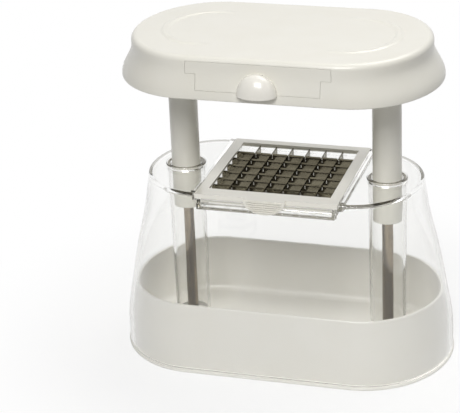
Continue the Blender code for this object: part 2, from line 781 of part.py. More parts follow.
def make_strips(name, along_x):
    # One strip on the window's middle line, and its copies at every pitch.
    bm = bmesh.new()
    outline = strip_outline(notch_at_top=along_x)
    high = strip_top - strip_edge
    near = [bm.verts.new((u, -strip_thickness / 2, z)) for u, z in outline]
    far = [bm.verts.new((u, strip_thickness / 2, z)) for u, z in outline]
    bm.faces.new(near)
    bm.faces.new(far)
    for k in range(len(outline)):
        m = (k + 1) % len(outline)
        if outline[k][1] < high or outline[m][1] < high:
            bm.faces.new((near[k], near[m], far[m], far[k]))
            continue
        # The top is ground to a ridge along the middle of the strip.
        ridge = [bm.verts.new((outline[n][0], 0.0, strip_top)) for n in (k, m)]
        bm.faces.new((near[k], near[m], ridge[1], ridge[0]))
        bm.faces.new((ridge[0], ridge[1], far[m], far[k]))
        bm.faces.new((near[k], ridge[0], far[k]))
        bm.faces.new((near[m], far[m], ridge[1]))
    if not along_x:
        bmesh.ops.rotate(bm, matrix=Matrix.Rotation(pi / 2, 3, "Z"), verts=bm.verts)
    offsets = [pitch * (i - (cells - 2) / 2) for i in range(cells - 1)]
    places = [(0.0, blade_y + offset, 0.0) if along_x else (offset, blade_y, 0.0) for offset in offsets]
    return row_of(to_object(name + "_1", bm, blade_steel), places)


def make_cartridge():
    strips = make_strips("blade_strip_cross", True) + make_strips("blade_strip_long", False)
    return [make_frame(), make_retainer()] + strips


# Bodies: each carrier moves in one straight line, and what rides on it is its child

def carrier(name, place, things, parent=None):
    empty = bpy.data.objects.new(name, None)
    empty.location = place
    bpy.context.scene.collection.objects.link(empty)
    bpy.context.view_layer.update()
    for thing in things:
        thing.parent = empty
        thing.matrix_parent_inverse = empty.matrix_world.inverted()
    if parent:
        empty.parent = parent
        empty.matrix_parent_inverse = parent.matrix_world.inverted()
    return empty


make_tray()
fixed_columns, moving_columns = make_columns()
housing_carrier = carrier("housing_carrier", (0.0, 0.0, housing_bottom), make_housing() + fixed_columns)
head_carrier = carrier("head_carrier", (0.0, 0.0, head_bottom), make_head() + moving_columns, housing_carrier)
carrier("pusher_carrier", (0.0, panel_back, panel_bottom), make_pusher(), head_carrier)
carrier("blade_carrier", (0.0, frame_front, frame_top), make_cartridge(), housing_carrier)
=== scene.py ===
from functools import partial, partialmethod
from math import acos, cos, pi, radians, sin, sqrt, tan

import bmesh
import bpy
import numpy as np
from mathutils import Matrix, Vector


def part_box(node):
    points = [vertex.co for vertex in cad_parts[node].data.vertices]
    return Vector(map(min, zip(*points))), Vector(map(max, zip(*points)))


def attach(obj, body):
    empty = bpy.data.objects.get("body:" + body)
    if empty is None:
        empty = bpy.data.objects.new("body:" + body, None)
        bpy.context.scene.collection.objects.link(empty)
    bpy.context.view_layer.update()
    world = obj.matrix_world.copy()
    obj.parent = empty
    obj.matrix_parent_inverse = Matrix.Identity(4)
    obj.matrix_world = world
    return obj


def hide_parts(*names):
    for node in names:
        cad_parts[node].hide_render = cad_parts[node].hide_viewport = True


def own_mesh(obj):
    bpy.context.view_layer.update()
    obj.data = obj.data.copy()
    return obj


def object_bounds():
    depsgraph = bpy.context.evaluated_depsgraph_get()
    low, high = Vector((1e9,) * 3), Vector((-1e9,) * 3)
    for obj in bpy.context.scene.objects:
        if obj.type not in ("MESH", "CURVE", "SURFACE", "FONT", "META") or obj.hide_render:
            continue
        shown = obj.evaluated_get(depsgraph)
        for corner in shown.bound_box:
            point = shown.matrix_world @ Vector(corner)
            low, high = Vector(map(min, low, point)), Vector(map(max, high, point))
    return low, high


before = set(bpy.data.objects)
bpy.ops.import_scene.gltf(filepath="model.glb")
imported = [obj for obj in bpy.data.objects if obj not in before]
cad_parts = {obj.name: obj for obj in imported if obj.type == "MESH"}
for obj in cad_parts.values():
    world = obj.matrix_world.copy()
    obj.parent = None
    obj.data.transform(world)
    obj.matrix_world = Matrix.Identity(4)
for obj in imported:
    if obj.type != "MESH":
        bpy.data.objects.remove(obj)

# Press-down food chopper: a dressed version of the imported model, in metres and in its frame.
# The tray stands on the floor, and the knob and the blade tab face -Y.

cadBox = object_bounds()
scene = bpy.context.scene
tiny = 1e-6
gap = 0.0003                        # between pieces that touch or slide
sides = ("left", "right")


# Node trees

class Wire:
    # One output of a node. Sums, products and comparisons of wires add Math nodes to their tree.

    def __init__(self, maker, socket):
        self.maker = maker
        self.socket = socket

    def __getitem__(self, name):
        return Wire(self.maker, self.socket.node.outputs[name])

    def maths(self, operation, *others):
        return self.maker.add("ShaderNodeMath", dict(enumerate((self,) + others)), operation=operation)

    __add__ = __radd__ = partialmethod(maths, "ADD")
    __sub__ = partialmethod(maths, "SUBTRACT")
    __mul__ = __rmul__ = partialmethod(maths, "MULTIPLY")
    __truediv__ = partialmethod(maths, "DIVIDE")
    __gt__ = partialmethod(maths, "GREATER_THAN")
    __lt__ = partialmethod(maths, "LESS_THAN")

    def __rsub__(self, other):
        return self * -1.0 + other

    def between(self, low, high, style="LINEAR"):
        # 0 below low, 1 above high.
        values = {"Value": self, "From Min": low, "From Max": high}
        return self.maker.add("ShaderNodeMapRange", values, interpolation_type=style)


class Maker:
    # Adds nodes to one tree, from a node's type, the values or wires of its sockets, and its settings.

    def __init__(self, tree):
        self.tree = tree

    def add(self, kind, values=None, out=0, **settings):
        node = self.tree.nodes.new(kind)
        for name, value in settings.items():
            setattr(node, name, value)
        for name, value in (values or {}).items():
            if isinstance(value, Wire):
                self.tree.links.new(value.socket, node.inputs[name])
            else:
                node.inputs[name].default_value = value
        return Wire(self, node.outputs[out] if node.outputs else None)

    def vector(self, x, y, z):
        return self.add("ShaderNodeCombineXYZ", {"X": x, "Y": y, "Z": z})

    def split(self, vector):
        parts = self.add("ShaderNodeSeparateXYZ", {"Vector": vector})
        return parts["X"], parts["Y"], parts["Z"]


# Geometry Nodes: each tree ends in Realize Instances and Set Material, and runs once

def newGrowth(name, sockets):
    # Each kind of socket comes with the names of those inputs. The wires come back in the same order,
    # between the input mesh's and the material's.
    tree = bpy.data.node_groups.new(name, "GeometryNodeTree")
    inputs = [(kind, label) for kind, labels in sockets.items() for label in labels.split()]
    inputs = [("Geometry", "Geometry"), *inputs, ("Material", "material")]
    for kind, label in inputs:
        tree.interface.new_socket(label, in_out="INPUT", socket_type="NodeSocket" + kind)
    tree.interface.new_socket("Geometry", in_out="OUTPUT", socket_type="NodeSocketGeometry")
    maker = Maker(tree)
    given = maker.add("NodeGroupInput")
    return maker, *(given[label] for kind, label in inputs)


def endGrowth(maker, geometry, material):
    real = maker.add("GeometryNodeRealizeInstances", {"Geometry": geometry})
    painted = maker.add("GeometryNodeSetMaterial", {"Geometry": real, "Material": material})
    maker.add("NodeGroupOutput", {"Geometry": painted})
    return maker.tree


def endCopies(maker, points, mesh, material, more=()):
    # Sets the mesh on each point.
    values = {"Points": points, "Instance": mesh, **dict(more)}
    return endGrowth(maker, maker.add("GeometryNodeInstanceOnPoints", values), material)


def ovalShellTree():
    # Lofts rounded outlines through the levels of the input mesh, whose points hold half length,
    # half width and height. An outline has straight long sides closed by half ellipses.
    maker, levels, endSteps, sideSteps, roundness, crestFrom, crestTo, material = newGrowth(
        "ovalShell", {"Int": "endSteps sideSteps", "Float": "roundness crestFrom crestTo"})
    count = maker.add("GeometryNodeAttributeDomainSize", {"Geometry": levels}, component="MESH")
    half = endSteps + sideSteps
    sheet = maker.add("GeometryNodeMeshGrid", {"Vertices X": half * 2 + 1, "Vertices Y": count})
    index = maker.add("GeometryNodeInputIndex")
    column = (index / count).maths("FLOOR")
    level = index - column * count
    place = maker.add("GeometryNodeInputPosition")
    rise = maker.add("GeometryNodeInputNamedAttribute", {"Name": "crest"}, data_type="FLOAT")
    size, crest = (maker.add("GeometryNodeSampleIndex", {"Geometry": levels, "Value": value, "Index": level},
                             data_type=sort) for value, sort in ((place, "FLOAT_VECTOR"), (rise, "FLOAT")))
    halfX, halfY, z = maker.split(size)
    end = halfY * roundness
    second = column > half - 0.5
    step = column - second * half
    onEnd = step < endSteps
    turn = (step / endSteps - 0.5) * pi
    along = (step - endSteps) / sideSteps
    x = halfX - end + onEnd * end * turn.maths("COSINE") - (1 - onEnd) * (halfX - end) * along * 2
    y = halfY * (onEnd * turn.maths("SINE") + (1 - onEnd))
    flip = 1 - second * 2
    fade = x.maths("ABSOLUTE").between(crestFrom, crestTo, "SMOOTHSTEP")
    target = maker.vector(x * flip, y * flip, z + crest * fade)
    shaped = maker.add("GeometryNodeSetPosition", {"Geometry": sheet, "Position": target})
    closed = maker.add("GeometryNodeMergeByDistance", {"Geometry": shaped, "Distance": tiny})
    return endGrowth(maker, closed, material)


def gridTree():
    # Repeats the input mesh on a square grid in X and Y about its own place.
    maker, mesh, count, pitch, material = newGrowth("gridOfCopies", {"Int": "count", "Float": "pitch"})
    side = (count - 1) * pitch
    grid = maker.add("GeometryNodeMeshGrid", {
        "Vertices X": count, "Vertices Y": count, "Size X": side, "Size Y": side})
    return endCopies(maker, grid, mesh, material)


def placesTree():
    # Sets the input mesh on each point of another object, turned about an axis by a seeded random angle.
    maker, mesh, other, axis, seed, material = newGrowth(
        "copiesOnPlaces", {"Object": "places", "Vector": "axis", "Int": "seed"})
    places = maker.add("GeometryNodeObjectInfo", {"Object": other})["Geometry"]
    # Socket 3 holds the largest angle.
    angle = maker.add("FunctionNodeRandomValue", {3: pi, "Seed": seed}, 1, data_type="FLOAT")
    turn = maker.add("FunctionNodeAxisAngleToRotation", {"Axis": axis, "Angle": angle})
    return endCopies(maker, places, mesh, material, {"Rotation": turn})


def coilTree():
    # Winds a compression spring with closed end turns about each point of the input mesh.
    maker, points, radius, wire, turns, closedTurns, low, high, turnSteps, wireSides, material = newGrowth(
        "coil", {"Float": "radius wire turns closedTurns low high", "Int": "turnSteps wireSides"})
    line = maker.add("GeometryNodeCurvePrimitiveLine")
    path = maker.add("GeometryNodeResampleCurve", {"Curve": line, "Count": turns * turnSteps + 1})
    part = maker.add("GeometryNodeSplineParameter")
    turn = part * turns * (2 * pi)
    share = closedTurns / turns
    closedRise = closedTurns * wire
    openRise = high - low - wire - closedRise * 2
    ends = part.between(0.0, share) + part.between(1 - share, 1.0)
    z = low + wire / 2 + closedRise * ends + openRise * part.between(share, 1 - share)
    helix = maker.vector(radius * turn.maths("COSINE"), radius * turn.maths("SINE"), z)
    wound = maker.add("GeometryNodeSetPosition", {"Geometry": path, "Position": helix})
    ring = maker.add("GeometryNodeCurvePrimitiveCircle", {"Resolution": wireSides, "Radius": wire / 2})
    coil = maker.add("GeometryNodeCurveToMesh", {"Curve": wound, "Profile Curve": ring, "Fill Caps": True})
    return endCopies(maker, points, coil, material)


def ridgeTree():
    # Stacks bars down a half oval, each as wide as the oval is there. Fill is the share of its depth
    # that they take up.
    maker, bar, count, halfWidth, depth, start, fill, material = newGrowth(
        "gripRidges", {"Int": "count", "Float": "halfWidth depth start fill"})
    share = (maker.add("GeometryNodeInputIndex") + start) / count * fill
    spot = maker.vector(0.0, 0.0, share * depth * -1)
    points = maker.add("GeometryNodePoints", {"Count": count, "Position": spot})
    width = (1 - share * share).maths("SQRT") * halfWidth
    return endCopies(maker, points, bar, material, {"Scale": maker.vector(width, 1.0, 1.0)})


# Meshes

def linked(name, data):
    thing = bpy.data.objects.new(name, data)
    scene.collection.objects.link(thing)
    return thing


def meshOf(name, shape):
    # Ends a bmesh.
    mesh = bpy.data.meshes.new(name)
    shape.to_mesh(mesh)
    shape.free()
    return mesh


def finished(thing):
    # A piece's mesh with its modifiers applied.
    return bpy.data.meshes.new_from_object(thing.evaluated_get(bpy.context.evaluated_depsgraph_get()))


def loose(thing):
    # A piece's mesh, without its object.
    mesh = thing.data
    bpy.data.objects.remove(thing)
    return mesh


def place(name, mesh, sharpAngle=35.0, merge=True):
    # A closed mesh as an object: doubles merged, faces outwards, smooth but for its sharp edges.
    shape = bmesh.new()
    shape.from_mesh(mesh)
    if merge:
        bmesh.ops.remove_doubles(shape, verts=shape.verts, dist=tiny)
    bmesh.ops.recalc_face_normals(shape, faces=shape.faces)
    for face in shape.faces:
        face.smooth = True
    for edge in shape.edges:
        edge.smooth = edge.calc_face_angle(0.0) < radians(sharpAngle)
    shape.to_mesh(mesh)
    shape.free()
    mesh.name = name
    return linked(name, mesh)


def grow(name, tree, mesh, **settings):
    # Runs a tree on a mesh and keeps the result as a plain mesh.
    source = linked(name + "Source", mesh)
    step = source.modifiers.new(tree.name, "NODES")
    step.node_group = tree
    for item in tree.interface.items_tree:
        if item.name in settings:
            step[item.identifier] = settings[item.name]
    made = finished(source)
    bpy.data.objects.remove(source)
    return place(name, made)


def fromPoints(name, points, crest=None):
    mesh = bpy.data.meshes.new(name)
    mesh.from_pydata(points, [], [])
    if crest:
        mesh.attributes.new("crest", "FLOAT", "POINT").data.foreach_set("value", crest)
    return mesh


def flatten(thing):
    # Applies a piece's modifiers.
    mesh = finished(thing)
    thing.modifiers.clear()
    thing.data = mesh
    return thing


def soften(thing, width, segments=3, angle=40.0):
    # Rounds the sharp edges.
    step = thing.modifiers.new("soften", "BEVEL")
    step.width = width
    step.segments = segments
    step.angle_limit = radians(angle)
    return flatten(thing)


def carve(thing, operation, *tools):
    # Exact Booleans with each tool in turn. The tools are used up.
    for tool in tools:
        step = thing.modifiers.new("carve", "BOOLEAN")
        step.solver = "EXACT"
        step.operation = operation
        step.object = tool
    flatten(thing)
    for tool in tools:
        bpy.data.objects.remove(tool)


def box(name, low, high, rounding=0.0):
    shape = bmesh.new()
    middle, size = (Vector(low) + Vector(high)) / 2, Vector(high) - Vector(low)
    matrix = Matrix.Translation(middle) @ Matrix.Diagonal((*size, 1.0))
    bmesh.ops.create_cube(shape, size=1.0, matrix=matrix)
    thing = place(name, meshOf(name, shape))
    return soften(thing, rounding) if rounding else thing


def square(name, half, middle, low, high):
    return box(name, (-half, middle - half, low), (half, middle + half, high))


def prism(name, outline, depth, matrix):
    # The outline's points are pushed along their plane's normal.
    shape = bmesh.new()
    face = shape.faces.new([shape.verts.new((*point, 0.0)) for point in outline])
    pushed = bmesh.ops.extrude_face_region(shape, geom=[face])["geom"]
    corners = [item for item in pushed if isinstance(item, bmesh.types.BMVert)]
    bmesh.ops.translate(shape, vec=(0.0, 0.0, depth), verts=corners)
    bmesh.ops.transform(shape, matrix=matrix, verts=shape.verts)
    return place(name, meshOf(name, shape))


def rounded(corners, steps=5):
    # Corners are (across, up, radius). Each one that has a radius becomes an arc.
    points = []
    for i, (x, z, radius) in enumerate(corners):
        corner = Vector((x, z))
        if not radius:
            points.append(tuple(corner))
            continue
        before = (Vector(corners[i - 1][:2]) - corner).normalized()
        after = (Vector(corners[(i + 1) % len(corners)][:2]) - corner).normalized()
        opening = acos(max(-1.0, min(1.0, before.dot(after))))
        middle = corner + (before + after).normalized() * radius / sin(opening / 2)
        start, end = (corner + side * radius / tan(opening / 2) - middle for side in (before, after))
        for share in spread(0.0, 1.0, steps):
            points.append(tuple(middle + start.slerp(end, share).normalized() * radius))
    return points


def turned(name, profile, middle=(0.0, 0.0), steps=72, closed=False):
    # Turns (radius, height) points about a vertical axis. No corner lies on a middle line of the body.
    shape = bmesh.new()
    rings = []
    for radius, z in profile:
        turns = [2 * pi * (i + 0.5) / steps for i in range(steps if radius > tiny else 1)]
        spots = [(middle[0] + radius * cos(turn), middle[1] + radius * sin(turn), z) for turn in turns]
        rings.append([shape.verts.new(spot) for spot in spots])
    for lower, upper in list(zip(rings, rings[1:])) + ([(rings[-1], rings[0])] if closed else []):
        for i in range(steps if len(lower) + len(upper) > 2 else 0):
            corners = ((lower, i), (lower, i + 1), (upper, i + 1), (upper, i))
            shape.faces.new(dict.fromkeys(ring[n % len(ring)] for ring, n in corners))
    return place(name, meshOf(name, shape))


def joined(name, *things, merge=False):
    # Closed meshes as one piece.
    shape = bmesh.new()
    for thing in things:
        shape.from_mesh(loose(thing))
    return place(name, meshOf(name, shape), merge=merge)


# Outlines and levels

def middleOf(node):
    low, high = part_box(node)
    return (low.x + high.x) / 2, (low.y + high.y) / 2


def reachOf(node):
    # Foot, top and radius of a round upright node.
    low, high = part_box(node)
    return low.z, high.z, (high.x - low.x) / 2


def spanAt(node, z):
    # Half length and half width of a CAD node at a height, from the edges that cross it.
    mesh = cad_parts[node].data
    points = np.empty(len(mesh.vertices) * 3, dtype=np.float32)
    mesh.vertices.foreach_get("co", points)
    ends = np.empty(len(mesh.edges) * 2, dtype=np.int32)
    mesh.edges.foreach_get("vertices", ends)
    low, high = points.reshape(-1, 3)[ends.reshape(-1, 2)].transpose(1, 0, 2)
    crossing = ((low[:, 2] - z) * (high[:, 2] - z) <= 0) & (low[:, 2] != high[:, 2])
    low, high = low[crossing], high[crossing]
    cut = low + (high - low) * ((z - low[:, 2]) / (high[:, 2] - low[:, 2]))[:, None]
    return float(abs(cut[:, 0]).max()), float(abs(cut[:, 1]).max())


def smoothSpan(knots, z, inset=0.0):
    # Half length and half width at a height, on a smooth curve through (height, half length, half width).
    knots = np.array(knots)
    slopes = np.gradient(knots[:, 1:], knots[:, 0], axis=0)
    i = int(np.clip(np.searchsorted(knots[:, 0], z) - 1, 0, len(knots) - 2))
    span = knots[i + 1, 0] - knots[i, 0]
    t = (z - knots[i, 0]) / span
    spot = ((1 + 2 * t) * (1 - t) ** 2 * knots[i, 1:] + t * (1 - t) ** 2 * span * slopes[i]
            + t * t * (3 - 2 * t) * knots[i + 1, 1:] + t * t * (t - 1) * span * slopes[i + 1])
    return float(spot[0]) - inset, float(spot[1]) - inset


def eased(share):
    # From 0 to 1, slow at both ends.
    share = min(1.0, max(0.0, share))
    return share * (share * (3.0 - 2.0 * share))


def spread(low, high, steps):
    return [low + (high - low) * i / steps for i in range(steps + 1)]


def arc(span, z, radius, start, end, steps=6):
    # Levels round an edge: the arc's middle lies radius inside the span at height z, angles in degrees.
    levels = []
    for turn in spread(radians(start), radians(end), steps):
        inset = radius * (1 - cos(turn))
        levels.append((span[0] - inset, span[1] - inset, z + radius * sin(turn)))
    return levels


def insideLevels(spanOf, wall, ceiling, corner, low, foot, steps):
    # From the ceiling's rounded edge down the inside of a wall and round its foot to the outside.
    cornerSteps, wallSteps, footSteps = steps
    levels = arc(spanOf(ceiling, wall), ceiling - corner, corner, 90, 0, cornerSteps)
    levels += [(*spanOf(z, wall), z) for z in spread(ceiling - corner, low + foot, wallSteps)[1:]]
    levels += arc(spanOf(low, wall - 2 * foot), low + foot, foot, 180, 270, footSteps)[1:]
    return levels + arc(spanOf(low), low + foot, foot, -90, 0, footSteps)


ovalShape = {"roundness": 0.89, "endSteps": 40, "sideSteps": 20}
ovalShell = ovalShellTree()


def ovalPiece(name, levels, material, crest=None, fade=(0.0, 1.0)):
    # Levels of (half length, half width, height) as one closed piece. The crest is what each level
    # rises by, and it fades in along the oval.
    first, last = ((x - ovalShape["roundness"] * y, 0.0, z) for x, y, z in (levels[0], levels[-1]))
    mesh = fromPoints(name + "Levels", [first, *levels, last], [0.0, *crest, 0.0] if crest else None)
    return grow(name, ovalShell, mesh, **ovalShape, crestFrom=fade[0], crestTo=fade[1], material=material)


# Finished pieces

def dress(thing, material, body, slot, *nodes):
    # Its material, the body it moves with, its finish, which is not used, and the nodes it stands for.
    thing.data.materials.clear()
    thing.data.materials.append(material)
    thing.data.polygons.foreach_set("material_index", [0] * len(thing.data.polygons))
    step = thing.modifiers.new("evenNormals", "WEIGHTED_NORMAL")    # keeps flat faces flat
    step.keep_sharp = True
    flatten(thing)
    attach(thing, body)
    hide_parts(*nodes)


def paintNode(node, material):
    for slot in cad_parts[node].material_slots:
        slot.link = "OBJECT"
        slot.material = material


# Materials. A noise in a look is (scale, detail, roughness), and a range is (where it starts, where full).

def makerFor(owner):
    owner.use_nodes = True
    owner.node_tree.nodes.clear()
    return Maker(owner.node_tree)


def newMaterial(name):
    material = bpy.data.materials.new(name)
    maker = makerFor(material)
    return material, maker, maker.add("ShaderNodeTexCoord")["Object"]


def patterns(maker, where, look, *names):
    # The noises of a look, each along its stretch and cut to its range where it has them.
    made = []
    for name in names:
        along = where
        if name + "Stretch" in look:
            along = maker.add("ShaderNodeMapping", {"Vector": where, "Scale": look[name + "Stretch"]})
        values = dict(zip(("Scale", "Detail", "Roughness"), look[name + "Noise"]))
        noise = maker.add("ShaderNodeTexNoise", {"Vector": along, **values})
        made.append(noise.between(*look[name + "Range"]) if name + "Range" in look else noise)
    return made


def mixColour(maker, factor, first, second):
    # The Mix node's sockets for colours are 6 and 7, and 2 at its output.
    return maker.add("ShaderNodeMix", {0: factor, 6: (*first, 1.0), 7: (*second, 1.0)}, 2, data_type="RGBA")


def bump(maker, height, distance):
    return maker.add("ShaderNodeBump", {"Height": height, "Distance": distance})


def endMaterial(maker, shader):
    maker.add("ShaderNodeOutputMaterial", {"Surface": shader})


def plastic(name, look):
    # Moulded ivory plastic: slow waves and fine grain in the surface, faint mottling, a few scuffs.
    material, maker, where = newMaterial(name)
    waves, grain, mottle, scuffs = patterns(maker, where, look, "wave", "grain", "mottle", "scuff")
    height = waves * look["waveHeight"] + grain * look["grainHeight"] - scuffs * look["scuffDepth"]
    shader = maker.add("ShaderNodeBsdfPrincipled", {
        "Base Color": mixColour(maker, mottle, look["colour"], look["shade"]),
        "Roughness": look["roughness"] + grain * look["roughnessSpread"] + scuffs * look["scuffRoughness"],
        "Normal": bump(maker, height, 1.0),
        "IOR": look["ior"],
        "Coat Weight": look["coat"],
        "Coat Roughness": look["coatRoughness"],
    })
    endMaterial(maker, shader)
    return material


ivoryLook = {
    "colour": (0.815, 0.798, 0.730), "shade": (0.800, 0.780, 0.705),
    "roughness": 0.27, "roughnessSpread": 0.10, "ior": 1.5,
    "coat": 0.15, "coatRoughness": 0.12,
    "waveNoise": (26.0, 2.0, 0.55), "waveHeight": 0.00022,
    "grainNoise": (2300.0, 2.0, 0.55), "grainHeight": 0.0000035,
    "mottleNoise": (38.0, 4.0, 0.55), "mottleRange": (0.35, 0.65),
    "scuffStretch": (1.0, 7.0, 3.0), "scuffNoise": (95.0, 5.0, 0.7), "scuffRange": (0.70, 0.76),
    "scuffDepth": 0.000004, "scuffRoughness": 0.10,
}
ivory = plastic("ivoryPlastic", ivoryLook)
satin = plastic("satinIvory", dict(
    ivoryLook, colour=(0.780, 0.763, 0.695), shade=(0.755, 0.735, 0.665), roughness=0.38, coat=0.0))
# The tray's lighter, less yellow copy of the ivory plastic is painted light, not a different plastic.
trayIvory = plastic("trayIvory", dict(
    ivoryLook, colour=(0.830, 0.818, 0.775), shade=(0.815, 0.800, 0.750)))
# The frame's lighter copy of the ivory plastic is painted light; its coat is real gloss.
frameIvory = plastic("frameIvory", dict(
    ivoryLook, colour=(0.865, 0.845, 0.775), shade=(0.850, 0.828, 0.752), coat=1.0, coatRoughness=0.08))
# The knob's lighter copy of the ivory plastic is painted light; its coat is real gloss.
glossy = plastic("glossyIvory", dict(
    ivoryLook, colour=(0.850, 0.830, 0.765), shade=(0.840, 0.815, 0.750), roughness=0.24,
    roughnessSpread=0.05, coat=0.5, coatRoughness=0.13, waveHeight=0.00008))


def clearPlastic(name, look):
    # Clear plastic. Shadow and diffuse rays pass straight through, so that what is inside stays lit, and
    # rays caught inside a wall get painted shade.
    material, maker, where = newMaterial(name)
    waves, haze, scratches = patterns(maker, where, look, "wave", "haze", "scratch")
    shader = maker.add("ShaderNodeBsdfPrincipled", {
        "Base Color": (*look["colour"], 1.0),
        "Roughness": look["roughness"] + haze * look["hazeRoughness"] + scratches * look["scratchRoughness"],
        "Normal": bump(maker, waves, look["waveHeight"]),
        "Transmission Weight": 1.0,
        "IOR": look["ior"],
    })
    passing, paintedEdgeShade = (maker.add("ShaderNodeBsdfTransparent", {"Color": (*look[colour], 1.0)})
                       for colour in ("through", "edge"))
    ray = maker.add("ShaderNodeLightPath")
    light = ray["Is Shadow Ray"].maths("MAXIMUM", ray["Is Diffuse Ray"])
    # Painted shade: after two reflections a ray takes the look's edge grey, which darkens the clear edges.
    trapped = ray["Glossy Depth"] > look["trapDepth"]       # rays caught inside a wall come out grey
    seen = maker.add("ShaderNodeMixShader", {0: trapped, 1: shader, 2: paintedEdgeShade})
    endMaterial(maker, maker.add("ShaderNodeMixShader", {0: light, 1: seen, 2: passing}))
    return material


clearLook = {
    "colour": (0.985, 0.985, 0.978), "through": (0.988, 0.988, 0.982), "ior": 1.49,
    # The edge colour is painted shade, the grey that caught rays take on.
    "edge": (0.62, 0.61, 0.58), "trapDepth": 1.5,
    "roughness": 0.015, "hazeNoise": (30.0, 4.0, 0.55), "hazeRange": (0.42, 0.72), "hazeRoughness": 0.02,
    "waveNoise": (40.0, 2.0, 0.55), "waveHeight": 0.00010,
    "scratchStretch": (1.0, 1.0, 6.0), "scratchNoise": (60.0, 6.0, 0.75), "scratchRange": (0.72, 0.77),
    "scratchRoughness": 0.06,
}
clear = clearPlastic("clearPlastic", clearLook)
# The tube's edge grey is a darker, warmer painted shade, and the thin retainer's is a nearly white one.
clearTube = clearPlastic("clearTubePlastic", dict(clearLook, edge=(0.44, 0.42, 0.37)))
clearThin = clearPlastic("clearThinPlastic", dict(clearLook, edge=(0.95, 0.95, 0.935)))


def steel(name, look):
    # Bare steel with fine lines along its length.
    material, maker, where = newMaterial(name)
    lines, bands, spots = patterns(maker, where, look, "line", "band", "spot")
    blend = bands * look["bandShare"] + spots * look["spotShare"]
    shader = maker.add("ShaderNodeBsdfPrincipled", {
        "Base Color": mixColour(maker, blend, look["colour"], look["dark"]),
        "Metallic": 1.0,
        "Roughness": look["roughness"] + lines * look["roughnessSpread"],
        "Normal": bump(maker, lines, look["lineDepth"]),
    })
    endMaterial(maker, shader)
    return material


rodLook = {
    # The rod's dark, warm colour and dark tone are painted reflection of dark surroundings, not the steel's
    # own colour.
    "colour": (0.325, 0.262, 0.172), "dark": (0.125, 0.096, 0.057),
    "roughness": 0.16, "roughnessSpread": 0.16,
    "lineStretch": (1.0, 1.0, 0.03), "lineNoise": (2600.0, 4.0, 0.6), "lineDepth": 0.000004,
    "bandStretch": (1.0, 1.0, 0.05), "bandNoise": (700.0, 2.0, 0.55), "bandRange": (0.3, 0.7),
    "bandShare": 0.7, "spotNoise": (160.0, 4.0, 0.55), "spotRange": (0.58, 0.74), "spotShare": 0.3,
}
rodSteel = steel("rodSteel", rodLook)
# The blade strips' near-black olive colours are painted reflection of dark surroundings too.
bladeSteel = steel("bladeSteel", dict(
    rodLook, colour=(0.19, 0.172, 0.125), dark=(0.085, 0.075, 0.050), roughness=0.10, roughnessSpread=0.08,
    lineStretch=(0.05, 0.05, 1.0), lineNoise=(4200.0, 4.0, 0.6), lineDepth=0.0000015,
    bandStretch=(0.3, 0.3, 1.0), bandNoise=(120.0, 2.0, 0.55)))
springSteel = steel("springSteel", dict(
    rodLook, colour=(0.50, 0.50, 0.50), dark=(0.34, 0.34, 0.35), roughness=0.28))
zinc = steel("zincSteel", dict(
    rodLook, colour=(0.70, 0.70, 0.68), dark=(0.55, 0.55, 0.54), roughness=0.30,
    lineStretch=(1.0, 1.0, 1.0), bandStretch=(1.0, 1.0, 1.0), bandNoise=(300.0, 2.0, 0.55)))
print("materials made")


# Catch tray

traySizes = {
    "flange": 0.0020, "flangeEdge": 0.0011, "foot": 0.0007, "wall": 0.0020, "floor": 0.0034,
    "floorCorner": 0.0045, "fillet": 0.0008, "rimArc": (15, 165, 8), "cornerArc": (-10, -90, 7),
    "outsideSteps": 14, "insideSteps": 10,
}


def makeTray(flange, flangeEdge, foot, wall, floor, floorCorner, fillet, rimArc, cornerArc, outsideSteps,
             insideSteps):
    top, rim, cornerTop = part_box("catch_tray")[1].z, wall / 2, floor + floorCorner
    knots = [(z, *spanAt("catch_tray", z)) for z in (flange + tiny, top / 2, top - tiny)]
    wallAt = partial(smoothSpan, knots)
    base = spanAt("catch_tray", flange / 2)
    levels = arc(base, foot, foot, -90, 0) + arc(base, flange - flangeEdge, flangeEdge, 0, 90)
    levels += [(*wallAt(flange, -fillet), flange)]
    levels += [(*wallAt(z), z) for z in spread(flange + fillet, top - rim, outsideSteps)]
    levels += arc(wallAt(top), top - rim, rim, *rimArc)
    levels += [(*wallAt(z, wall), z) for z in spread(top - rim, cornerTop, insideSteps)]
    levels += arc(wallAt(cornerTop, wall), cornerTop, floorCorner, *cornerArc)
    dress(ovalPiece("catchTray", levels, trayIvory), trayIvory, "tray", "ivory_plastic", "catch_tray")


makeTray(**traySizes)
print("tray made")


# Clear housing with its deck, the cartridge channel and the sleeve holes

housingSizes = {
    "wall": 0.0022, "deck": 0.0025, "deckEdge": 0.0020, "innerCorner": 0.0012, "footEdge": 0.0007,
    "deckHeight": 0.1178, "railWidth": 0.0032, "ledge": 0.0025, "sleeveRadius": 0.0118,
    "frameHeight": 0.0030, "beyond": 0.0300, "rounding": 0.0004, "edgeSteps": 12, "wallSteps": 26,
    "wallHeights": (0.0025, 0.0200, 0.0442, 0.0700, 0.0949, 0.1157),       # where the wall's curve is fixed
}


